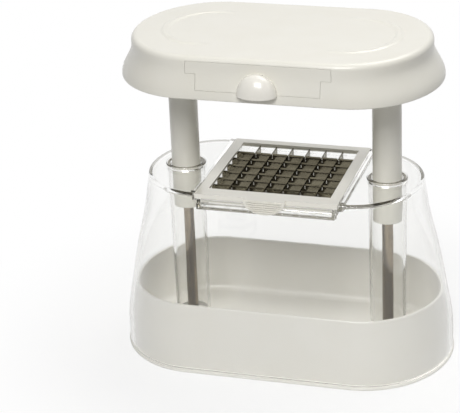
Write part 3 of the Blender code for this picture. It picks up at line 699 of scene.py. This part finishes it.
def makeHousing(wall, deck, deckEdge, innerCorner, footEdge, deckHeight, railWidth, ledge, sleeveRadius,
                frameHeight, beyond, rounding, edgeSteps, wallSteps, wallHeights):
    low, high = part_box("clear_housing")
    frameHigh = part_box("blade_frame")[1]
    retainerLow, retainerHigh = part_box("blade_retainer")
    wallAt = partial(smoothSpan, [(z, *spanAt("clear_housing", z)) for z in wallHeights])
    underside, deckLow = deckHeight - deck, deckHeight - deckEdge
    levels = insideLevels(wallAt, wall, underside, innerCorner, low.z, footEdge,
                          (edgeSteps, wallSteps, edgeSteps))
    levels += [(*wallAt(z), z) for z in spread(low.z + footEdge, deckLow, wallSteps)[1:-1]]
    levels += arc(wallAt(deckLow), deckLow, deckEdge, 0, 90, edgeSteps)
    housing = ovalPiece("clearHousing", levels, clear)

    channel, floor = frameHigh.x + gap, frameHigh.z - frameHeight - gap
    inside, rail, bite = wallAt(underside, wall)[1], channel + railWidth, deckEdge / 2
    below, above = underside - beyond, deckHeight + beyond
    saddle = box("saddle", (-channel - wall, -inside - bite, floor - ledge),
                 (channel + wall, inside + bite, underside + bite))
    rails = box("rails", (-rail, -inside, deckHeight - bite), (rail, inside, high.z), rounding)
    carve(housing, "UNION", saddle, rails)
    trough = box("trough", (-channel, -inside - beyond, floor), (channel, inside + beyond, above))
    mouth = box("mouth", (-retainerHigh.x - gap, -inside - beyond, retainerLow.z - gap),
                (retainerHigh.x + gap, retainerHigh.y + gap, floor + bite))
    hole = sleeveRadius + gap
    profile = [(0.0, below), (hole, below), (hole, above), (0.0, above)]
    holes = [turned("sleeveHole", profile, middleOf(side + "_guide_sleeve")) for side in sides]
    carve(housing, "DIFFERENCE", trough, mouth, *holes)
    dress(joined("clearHousing", housing, merge=True), clear, "housing", "clear_plastic", "clear_housing")


makeHousing(**housingSizes)
print("housing made")


# Columns: clear sleeve, steel rod, stop cap, spring, and the tube that slides over them

columnSizes = {
    "sleeve": 0.0118, "draft": 0.0005, "bore": 0.0103, "floorLow": 0.0115, "floorHigh": 0.0155,
    "screwHole": 0.0019, "recess": 0.0080, "collarHeight": 0.0014, "edge": 0.0006,
    "tubeWall": 0.0018, "tubeCap": 0.0040, "tubeHole": 0.0017, "tubeEdge": 0.0005, "capEdge": 0.0008,
    "rodHole": 0.0019, "rodHoleTop": 0.0278, "bushEdge": 0.0003, "rodInCap": 0.0026, "smallSteps": 48,
}


def addTurned(side, part, corners, material, body, slot, **shape):
    # A turned piece on its column's axis, in place of the node of that side and part.
    name = side + part.title().replace("_", "")
    thing = turned(name, rounded(corners), middleOf(side + "_guide_rod"), **shape)
    dress(thing, material, body, slot, side + "_" + part)


def makeColumns(sleeve, draft, bore, floorLow, floorHigh, screwHole, recess, collarHeight, edge, tubeWall,
                tubeCap, tubeHole, tubeEdge, capEdge, rodHole, rodHoleTop, bushEdge, rodInCap, smallSteps):
    for side in sides:
        foot, top, collar = reachOf(side + "_guide_sleeve")
        collarLow = top - collarHeight
        addTurned(side, "guide_sleeve", [
            (sleeve - draft, foot, edge / 2), (sleeve, collarLow, 0), (collar, collarLow, edge),
            (collar, top, edge), (bore, top, edge), (bore - draft, floorHigh, edge),
            (screwHole, floorHigh, 0), (screwHole, floorLow, 0), (recess, floorLow, edge / 2),
            (recess, foot, edge / 2)],
            clearTube, "housing", "clear_plastic", closed=True)

        foot, top, rod = reachOf(side + "_guide_rod")
        addTurned(side, "guide_rod", [
            (0, rodHoleTop, 0), (rodHole, rodHoleTop, 0), (rodHole, foot, 0), (rod, foot, edge),
            (rod, top, edge / 2), (0, top, 0)], rodSteel, "housing", "polished_steel", steps=smallSteps)

        foot, top, outer = reachOf(side + "_rod_stop_cap")
        socketTop, loose = foot + rodInCap + gap, rod + gap
        addTurned(side, "rod_stop_cap", [
            (0, socketTop, 0), (loose, socketTop, 0), (loose, foot, 0), (outer, foot, edge / 2),
            (outer, top, edge), (0, top, 0)], zinc, "housing", "zinc_steel", steps=smallSteps)

        foot, top, outer = reachOf(side + "_column_tube")
        inner, ceiling = outer - tubeWall, top - tubeCap
        addTurned(side, "column_tube", [
            (inner, foot, edge / 2), (outer, foot, tubeEdge), (outer, top, capEdge), (tubeHole, top, 0),
            (tubeHole, ceiling, 0), (inner, ceiling, 0)], ivory, "head", "ivory_plastic", closed=True)

        foot, top, outer = reachOf(side + "_column_bush")
        addTurned(side, "column_bush", [
            (loose, foot, edge), (outer, foot, bushEdge), (outer, top, bushEdge), (loose, top, edge)],
            satin, "head", "satin_ivory", steps=smallSteps, closed=True)


springShape = {"wire": 0.0008, "wireSides": 10, "turns": 13.0, "closedTurns": 1.0, "turnSteps": 28}


def makeSprings(shape):
    low, high, outer = reachOf("left_return_spring")
    spots = [(*middleOf(side + "_guide_rod"), 0.0) for side in sides]
    springs = grow("returnSprings", coilTree(), fromPoints("columnMiddles", spots), **shape,
                   radius=outer - shape["wire"] / 2, low=low, high=high, material=springSteel)
    dress(springs, springSteel, "housing", "spring_steel", "left_return_spring", "right_return_spring")
    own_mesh(springs)


makeColumns(**columnSizes)
makeSprings(springShape)
print("columns made")


# Screws with cross recesses

screwHead = {"crown": 0.55, "crownWidth": 0.85, "crownRounding": 0.3, "rimRounding": 0.2, "steps": 32}
screwKinds = {
    "small": dict(screwHead, radius=0.0014, head=0.0022, height=0.0014, slot=0.00045, reach=0.0013,
                  deep=0.0008),
    "foot": dict(screwHead, radius=0.0016, head=0.0034, height=0.0023, slot=0.00065, reach=0.0020,
                 deep=0.0013),
}
screwGroups = (
    # name, kind, body, towards the tip, seed, nodes
    ("headPlateScrews", "small", "head", (0, 0, 1), 3, ["head_plate_screw_%d" % n for n in (1, 2, 3, 4)]),
    ("columnScrews", "small", "head", (0, 0, -1), 5, ["left_column_screw", "right_column_screw"]),
    ("pusherScrews", "small", "pusher", (0, -1, 0), 8, ["pusher_screw_1", "pusher_screw_2"]),
    ("rodFootScrews", "foot", "housing", (0, 0, 1), 11, ["left_rod_foot_screw", "right_rod_foot_screw"]),
)


def screwMesh(length, toTip, radius, head, height, slot, reach, deep, crown, crownWidth, crownRounding,
              rimRounding, steps):
    # The head lies behind the origin and the shank runs from it towards the tip.
    profile = rounded([(0, -height, 0), (head * crownWidth, -height, height * crownRounding),
                       (head, -height * crown, height * rimRounding), (head, 0, 0), (radius, 0, 0),
                       (radius, length - radius, 0), (0, length, 0)])
    screw = turned("screw", profile, steps=steps)
    half = slot / 2
    slots = [box("slot", (-a, -b, -height * 2), (a, b, deep - height))
             for a, b in ((half, reach), (reach, half))]
    carve(screw, "DIFFERENCE", *slots)
    mesh = loose(screw)
    mesh.transform(Vector((0, 0, 1)).rotation_difference(Vector(toTip)).to_matrix().to_4x4())
    return mesh


def makeScrews():
    tree = placesTree()
    for name, kind, body, toTip, seed, nodes in screwGroups:
        axis, height = Vector(toTip), screwKinds[kind]["height"]
        seats = []
        for node in nodes:
            low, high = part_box(node)
            length = abs((high - low).dot(axis))
            seats.append((low + high) / 2 - axis * (length / 2 - height))
        places = linked("places", fromPoints("places", seats))
        screw = screwMesh(length - height, toTip, **screwKinds[kind])
        screws = grow(name, tree, screw, places=places, axis=toTip, seed=seed, material=zinc)
        bpy.data.objects.remove(places)
        dress(screws, zinc, body, "zinc_steel", *nodes)


makeScrews()
print("screws made")


# Press head

headSizes = {
    "wall": 0.0024, "edge": 0.0035, "top": 0.2099, "skirtEdge": 0.0008, "flareDrop": 0.0034,
    "flareLift": 0.0011, "crestOuter": (0.0756, 0.0336), "crestInner": (0.0696, 0.0284),
    "crestHeight": 0.00065, "crestFlank": 0.35, "crestBeyond": 0.2, "crestFade": (0.036, 0.052),
    "panelBack": 0.0010, "seam": 0.00016, "beyond": 0.0600, "bossRadius": 0.0036, "bossLow": 0.1996,
    "outsideSteps": 18, "insideSteps": (6, 16, 4), "edgeSteps": 8, "crestSteps": 28, "bossSteps": 32,
}
panelSizes = {"wide": 0.0443, "narrow": 0.0380, "bottom": 0.1899, "step": 0.1996, "top": 0.2070,
              "rounding": 0.00025}
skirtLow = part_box("head_shell")[0].z


def headSpan(z, inset=0.0):
    # The skirt flares outwards between its top edge and its foot, and eases in and out of it.
    sizes = headSizes
    high = sizes["top"] - sizes["edge"]
    top, foot = spanAt("head_shell", high - tiny), spanAt("head_shell", skirtLow + tiny)
    start, end = high - sizes["flareDrop"], skirtLow + sizes["flareLift"]
    share = eased((start - z) / (start - end))
    return tuple(a + (b - a) * share - inset for a, b in zip(top, foot))


def headOutside(sizes):
    # Levels of the outside, from just above the skirt's foot to the top's rounded edge.
    edge, shoulder, foot = sizes["edge"], sizes["top"] - sizes["edge"], skirtLow + sizes["skirtEdge"]
    levels = [(*headSpan(z), z) for z in spread(foot, shoulder, sizes["outsideSteps"])]
    return levels + arc(headSpan(shoulder), shoulder, edge, 0, 90, sizes["edgeSteps"])[1:]


def panelPrism(name, grown, back):
    # From the front of the panel to a plane behind it.
    sizes = panelSizes
    wide, narrow = sizes["wide"] + grown, sizes["narrow"] + grown
    low, step, high = sizes["bottom"] - grown, sizes["step"] - grown, sizes["top"] + grown
    outline = [(-narrow, low), (narrow, low), (narrow, step), (wide, step), (wide, high),
               (-wide, high), (-wide, step), (-narrow, step)]
    matrix = Matrix.Translation((0, back, 0)) @ Matrix.Rotation(pi / 2, 4, "X")
    return prism(name, outline, back + headSizes["beyond"], matrix)


def makeHeadShell(sizes):
    wall, foot, ceiling = sizes["wall"], sizes["skirtEdge"], sizes["top"] - sizes["wall"]
    levels = insideLevels(headSpan, wall, ceiling, foot, skirtLow, foot, sizes["insideSteps"])[:-1]
    levels += headOutside(sizes)
    crest = [0.0] * len(levels)
    outer, inner = Vector(sizes["crestOuter"]), Vector(sizes["crestInner"])
    for share in spread(-sizes["crestBeyond"], 1 + sizes["crestBeyond"], sizes["crestSteps"]):
        levels.append((*outer.lerp(inner, share), sizes["top"]))
        crest.append(sizes["crestHeight"] * eased((0.5 - abs(share - 0.5)) / sizes["crestFlank"]))
    shell = ovalPiece("headShell", levels, ivory, crest, sizes["crestFade"])
    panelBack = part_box("pusher_front_panel")[1].y + sizes["panelBack"]
    carve(shell, "DIFFERENCE", panelPrism("opening", sizes["seam"], panelBack))
    hole, boss, bossLow = screwKinds["small"]["radius"] + gap, sizes["bossRadius"], sizes["bossLow"]
    profile = rounded([(hole, bossLow, 0), (boss, bossLow, foot / 2), (boss, ceiling + foot, 0),
                       (hole, ceiling + foot, 0)])
    bosses = [turned("boss", profile, middleOf("head_plate_screw_%d" % n), sizes["bossSteps"], closed=True)
              for n in (1, 2, 3, 4)]
    dress(joined("headShell", shell, *bosses), ivory, "head", "ivory_plastic", "head_shell")


def makePanel(sizes):
    panel = panelPrism("frontPanel", 0.0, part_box("pusher_front_panel")[1].y)
    carve(panel, "INTERSECT", ovalPiece("headBlank", headOutside(headSizes), ivory))
    soften(panel, sizes["rounding"], segments=2, angle=55.0)
    dress(panel, ivory, "pusher", "ivory_plastic", "pusher_front_panel")


knobSizes = {"rounding": 0.0011, "roundingSteps": 5, "segments": 48, "rings": 32}


def makeKnob(rounding, roundingSteps, segments, rings):
    # A quarter of an egg: flat below, round above, its back let into the panel.
    low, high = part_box("pusher_knob")
    face = headSpan(low.z)[1]
    size = Matrix.Diagonal((high.x, -low.y - face, high.z - low.z, 1.0))
    shape = bmesh.new()
    bmesh.ops.create_uvsphere(shape, u_segments=segments, v_segments=rings, radius=1.0,
                              matrix=Matrix.Translation((0.0, -face, low.z)) @ size)
    for point, normal in (((0, 0, low.z), (0, 0, -1)), ((0, high.y, 0), (0, 1, 0))):
        kept = shape.verts[:] + shape.edges[:] + shape.faces[:]
        cut = bmesh.ops.bisect_plane(shape, geom=kept, plane_co=point, plane_no=normal, clear_outer=True)
        rim = [item for item in cut["geom_cut"] if isinstance(item, bmesh.types.BMEdge)]
        bmesh.ops.edgeloop_fill(shape, edges=rim)
    knob = place("pusherKnob", meshOf("pusherKnob", shape))
    soften(knob, rounding, roundingSteps, angle=50.0)
    dress(knob, glossy, "pusher", "ivory_plastic", "pusher_knob")


makeHeadShell(headSizes)
makePanel(panelSizes)
makeKnob(**knobSizes)
paintNode("head_under_plate", satin)
print("head made")


# Pusher plate: a flange with a grid of studs below and a wall behind the front panel

pusherSizes = {
    "studs": 7, "pitch": 0.0110, "studHalf": 0.0047, "blade": 0.0005, "flangeLow": 0.1996,
    "flange": 0.0030, "upstand": 0.0025, "upstandLow": 0.1944, "narrow": 0.0377, "rounding": 0.0004,
    "studRounding": 0.0007,
}


def makePusher(studs, pitch, studHalf, blade, flangeLow, flange, upstand, upstandLow, narrow, rounding,
               studRounding):
    low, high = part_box("pusher_plate")
    flangeTop, back = flangeLow + flange, low.y + upstand
    shelf = box("flange", (low.x, low.y, flangeLow), (high.x, high.y, flangeTop), rounding)
    wall = box("wall", (low.x, low.y, flangeTop - rounding), (high.x, back, high.z), rounding)
    apron = box("apron", (-narrow, low.y, upstandLow), (narrow, back, flangeTop - rounding), rounding)
    stud = box("stud", (-studHalf, -studHalf, low.z), (studHalf, studHalf, flangeLow + rounding),
               studRounding)
    stud.data.transform(Matrix.Translation((0.0, blade, 0.0)))
    grid = grow("studs", gridTree(), loose(stud), count=studs, pitch=pitch, material=satin)
    dress(joined("pusherPlate", shelf, wall, apron, grid), satin, "pusher", "satin_ivory", "pusher_plate")


makePusher(**pusherSizes)
print("pusher made")


# Blade cartridge

cartridgeSizes = {
    "window": 0.0385, "pocket": 0.0403, "middle": 0.0005, "frame": 0.0030, "lip": 0.0015,
    "frameFront": 0.0479, "tabWidth": 0.0264, "tabThickness": 0.0019, "ridgeSeat": 0.0005, "tabSteps": 32,
    "rounding": 0.0007, "retainerFront": 0.0484, "ledgeTop": 0.1131, "retainerLip": 0.0012,
    "wall": 0.0020, "apron": 0.0012, "clearRounding": 0.0004, "beyond": 0.0200,
}
ridgeSizes = {"count": 6, "start": 0.6, "fill": 0.86, "half": 0.00042, "thickness": 0.0011,
              "proud": 0.0002, "rounding": 0.000252}


def makeRidges(front, radius, depth, top, count, start, fill, half, thickness, proud, rounding):
    bar = box("bar", (-1.0, -thickness, -half), (1.0, 0.0, half))
    ridges = grow("ridges", ridgeTree(), loose(bar), count=count, halfWidth=radius * fill, depth=depth,
                  start=start, fill=fill, material=frameIvory)
    ridges.data.transform(Matrix.Translation((0.0, front + thickness - proud, top)))
    return soften(ridges, rounding, segments=2)


def makeFrame(sizes):
    low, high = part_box("blade_frame")
    front, bottom, rounding = -sizes["frameFront"], high.z - sizes["frame"], sizes["rounding"]
    below, middle, thick = bottom - sizes["beyond"], sizes["middle"], sizes["tabThickness"]
    body = box("bladeFrame", (low.x, front, bottom), high)
    carve(body, "DIFFERENCE", square("window", sizes["window"], middle, below, high.z + sizes["beyond"]),
          square("recess", sizes["pocket"], middle, below, high.z - sizes["lip"]))
    radius, height = sizes["tabWidth"] / 2, high.z - low.z
    outline = [(radius * cos(turn), -height * sin(turn)) for turn in spread(0.0, pi, sizes["tabSteps"])]
    back = low.y + thick
    toFront = Matrix.Translation((0.0, back, high.z)) @ Matrix.Rotation(pi / 2, 4, "X")
    tab = prism("tab", outline, thick - sizes["ridgeSeat"], toFront)
    rootHalf = radius * sqrt(1 - (sizes["frame"] / height) ** 2)
    bite = thick / 2
    root = box("root", (-rootHalf, back - bite, bottom), (rootHalf, front + bite, high.z))
    carve(body, "UNION", tab, root)
    soften(body, rounding, angle=50.0)
    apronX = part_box("blade_retainer")[1].x - sizes["wall"] - gap
    apronY = -sizes["retainerFront"] + sizes["wall"] + gap
    # The apron shows as a pale band through the retainer's clear front.
    apron = box("apron", (-apronX, apronY, sizes["ledgeTop"]),
                (apronX, apronY + sizes["apron"], bottom + rounding))
    ridges = makeRidges(low.y, radius, height, high.z, **ridgeSizes)
    body = joined("bladeFrame", body, apron, ridges)
    dress(body, frameIvory, "blade_cartridge", "ivory_plastic", "blade_frame")


def makeRetainer(sizes):
    low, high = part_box("blade_retainer")
    front, wall, pocket, middle = -sizes["retainerFront"], sizes["wall"], sizes["pocket"], sizes["middle"]
    floor, below, above = low.z + sizes["retainerLip"], low.z - sizes["beyond"], high.z + sizes["beyond"]
    body = box("bladeRetainer", (low.x, front, low.z), high)
    ledge = box("ledge", (low.x, low.y, low.z), (high.x, front + wall / 2, sizes["ledgeTop"]))
    carve(body, "UNION", ledge)
    hollow = box("hollow", (low.x + wall, front + wall, floor),
                 (high.x - wall, middle - pocket - wall, above))
    carve(body, "DIFFERENCE", square("window", sizes["window"], middle, below, above),
          square("pocket", pocket, middle, floor, above), hollow)
    soften(body, sizes["clearRounding"], segments=2, angle=50.0)
    dress(body, clearThin, "blade_cartridge", "clear_plastic", "blade_retainer")


makeFrame(cartridgeSizes)
makeRetainer(cartridgeSizes)
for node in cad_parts:
    if node.startswith("blade_strip"):
        paintNode(node, bladeSteel)
print("cartridge made")


# Floor, light and camera

studio = {
    "ambient": 0.12, "sky": (1.0, 1.0, 1.0, 1.0), "floorSize": 5.0, "floorParts": 8,
    "floorColour": (0.93, 0.93, 0.925), "floorBeyond": (0.25, 0.25, 0.25), "beyondRange": (0.18, 0.45),
    "floorNoise": (900.0, 3.0, 0.55), "floorRoughness": 0.55, "roughnessSpread": 0.1, "floorShine": 0.2,
    "whiteNear": 0.75, "whiteRange": (0.10, 0.24),
    "lamps": (
        # place, size, power, colour
        ((0.08, -0.95, 1.05), 0.6, 12.0, (1.0, 0.995, 0.985)),
        ((0.30, 0.45, 1.20), 0.8, 7.0, (1.0, 0.995, 0.985)),
    ),
    "azimuth": 17.5, "elevation": 23.76, "roll": -2.48, "clipEnd": 20.0,
    "cameraPlace": (0.28918, -1.03574, 0.56810), "lens": 145.16,
    "bounces": 32, "clearBounces": 24,
}


def seenRays(maker):
    # 1 for rays that show the background: from the camera, in a reflection or through clear plastic.
    ray = maker.add("ShaderNodeLightPath")
    seen = ray["Is Camera Ray"].maths("MAXIMUM", ray["Is Glossy Ray"])
    return seen.maths("MAXIMUM", ray["Is Transmission Ray"])


def makeWorld(look):
    world = bpy.data.worlds.new("whiteStudio")
    maker = makerFor(world)
    strength = seenRays(maker) * (1.0 - look["ambient"]) + look["ambient"]
    back = maker.add("ShaderNodeBackground", {"Color": look["sky"], "Strength": strength})
    maker.add("ShaderNodeOutputWorld", {"Surface": back})
    scene.world = world


def makeFloor(look):
    # White where it is seen away from the piece, and plain paper for the light and the shadow near it.
    shape = bmesh.new()
    bmesh.ops.create_grid(shape, x_segments=look["floorParts"], y_segments=look["floorParts"],
                          size=look["floorSize"])
    floor = linked("floor", meshOf("floor", shape))
    material, maker, where = newMaterial("paperFloor")
    grain, = patterns(maker, where, look, "floor")
    far = maker.add("ShaderNodeVectorMath", {0: where}, 1, operation="LENGTH")
    beyond = far.between(*look["beyondRange"], "SMOOTHSTEP")
    paper = maker.add("ShaderNodeBsdfPrincipled", {
        "Base Color": mixColour(maker, beyond, look["floorColour"], look["floorBeyond"]),
        "Roughness": look["floorRoughness"] + grain * look["roughnessSpread"],
        "Specular IOR Level": look["floorShine"]})
    white = maker.add("ShaderNodeEmission")
    reach = far.between(*look["whiteRange"], "SMOOTHSTEP")
    blend = seenRays(maker) * (reach * (1.0 - look["whiteNear"]) + look["whiteNear"])
    endMaterial(maker, maker.add("ShaderNodeMixShader", {0: blend, 1: paper, 2: white}))
    floor.data.materials.append(material)


def makeLamps(look):
    for number, (spot, size, power, colour) in enumerate(look["lamps"], 1):
        lamp = bpy.data.lights.new("softLamp%d" % number, "AREA")
        lamp.size = size
        lamp.energy = power
        lamp.color = colour
        aim = Vector((0.0, 0.0, cadBox[1].z / 2)) - Vector(spot)
        facing = aim.to_track_quat("-Z", "Y").to_matrix().to_4x4()
        linked(lamp.name, lamp).matrix_world = Matrix.Translation(spot) @ facing


def makeCamera(look):
    turn, tilt = radians(look["azimuth"]), radians(look["elevation"])
    back = Vector((sin(turn) * cos(tilt), -cos(turn) * cos(tilt), sin(tilt)))
    right = Vector((cos(turn), sin(turn), 0.0))
    level = Matrix((right, back.cross(right), back)).transposed()
    facing = level @ Matrix.Rotation(radians(look["roll"]), 3, "Z")
    camera = linked("camera", bpy.data.cameras.new("camera"))
    camera.data.lens = look["lens"]
    camera.data.clip_end = look["clipEnd"]
    camera.matrix_world = Matrix.Translation(look["cameraPlace"]) @ facing.to_4x4()
    scene.camera = camera


makeWorld(studio)
makeFloor(studio)
makeLamps(studio)
makeCamera(studio)
scene.view_settings.view_transform = "Standard"
scene.cycles.max_bounces = studio["bounces"]
scene.cycles.transmission_bounces = studio["clearBounces"]
scene.cycles.transparent_max_bounces = studio["bounces"]
print("studio made")
